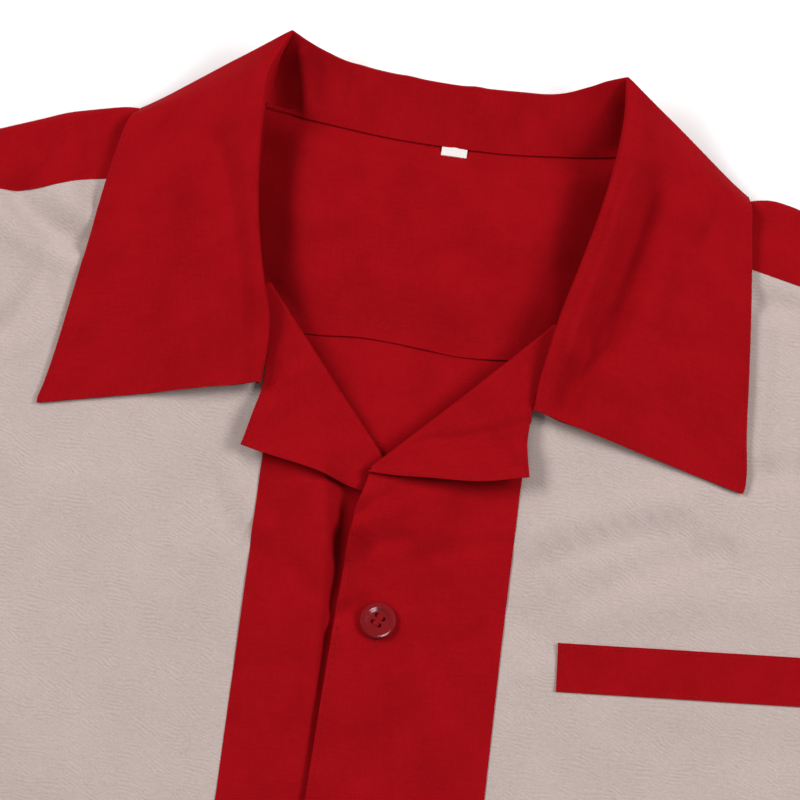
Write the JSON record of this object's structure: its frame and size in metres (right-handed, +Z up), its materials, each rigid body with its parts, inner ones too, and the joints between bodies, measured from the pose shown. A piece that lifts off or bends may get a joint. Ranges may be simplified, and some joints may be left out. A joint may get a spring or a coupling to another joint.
{
  "type": "bowling shirt",
  "caption": "Short-sleeved bowling shirt with red collar, sleeves, yoke and button front, pale side panels and a chest welt, laid out flat with its front up.",
  "frame": {"origin": "middle of the shirt's bounding box, on the table it lies on", "axes": "+X across the shirt towards the wearer's left sleeve, +Y from the hem to the collar, +Z up out of the front"},
  "size_m": [0.8306, 0.7344, 0.0272],
  "materials": {
    "red_cloth": "matt plain-weave cotton",
    "beige_cloth": "matt slubbed weave",
    "white_tab": "satin tape",
    "red_button": "glossy"
  },
  "bodies": {
    "root": {"back": "red_cloth", "yoke": "red_cloth", "yoke_inner": "red_cloth", "front_side_right": "beige_cloth", "front_side_left": "beige_cloth", "front_centre_right": "red_cloth", "front_centre_left": "red_cloth", "lapel_right": "red_cloth", "lapel_left": "red_cloth", "collar": "red_cloth", "sleeve_right": "red_cloth", "sleeve_left": "red_cloth", "pocket_welt": "red_cloth", "size_tab": "white_tab", "button_1": "red_button", "button_2": "red_button", "button_3": "red_button", "button_4": "red_button", "button_5": "red_button"}
  },
  "joints": []
}
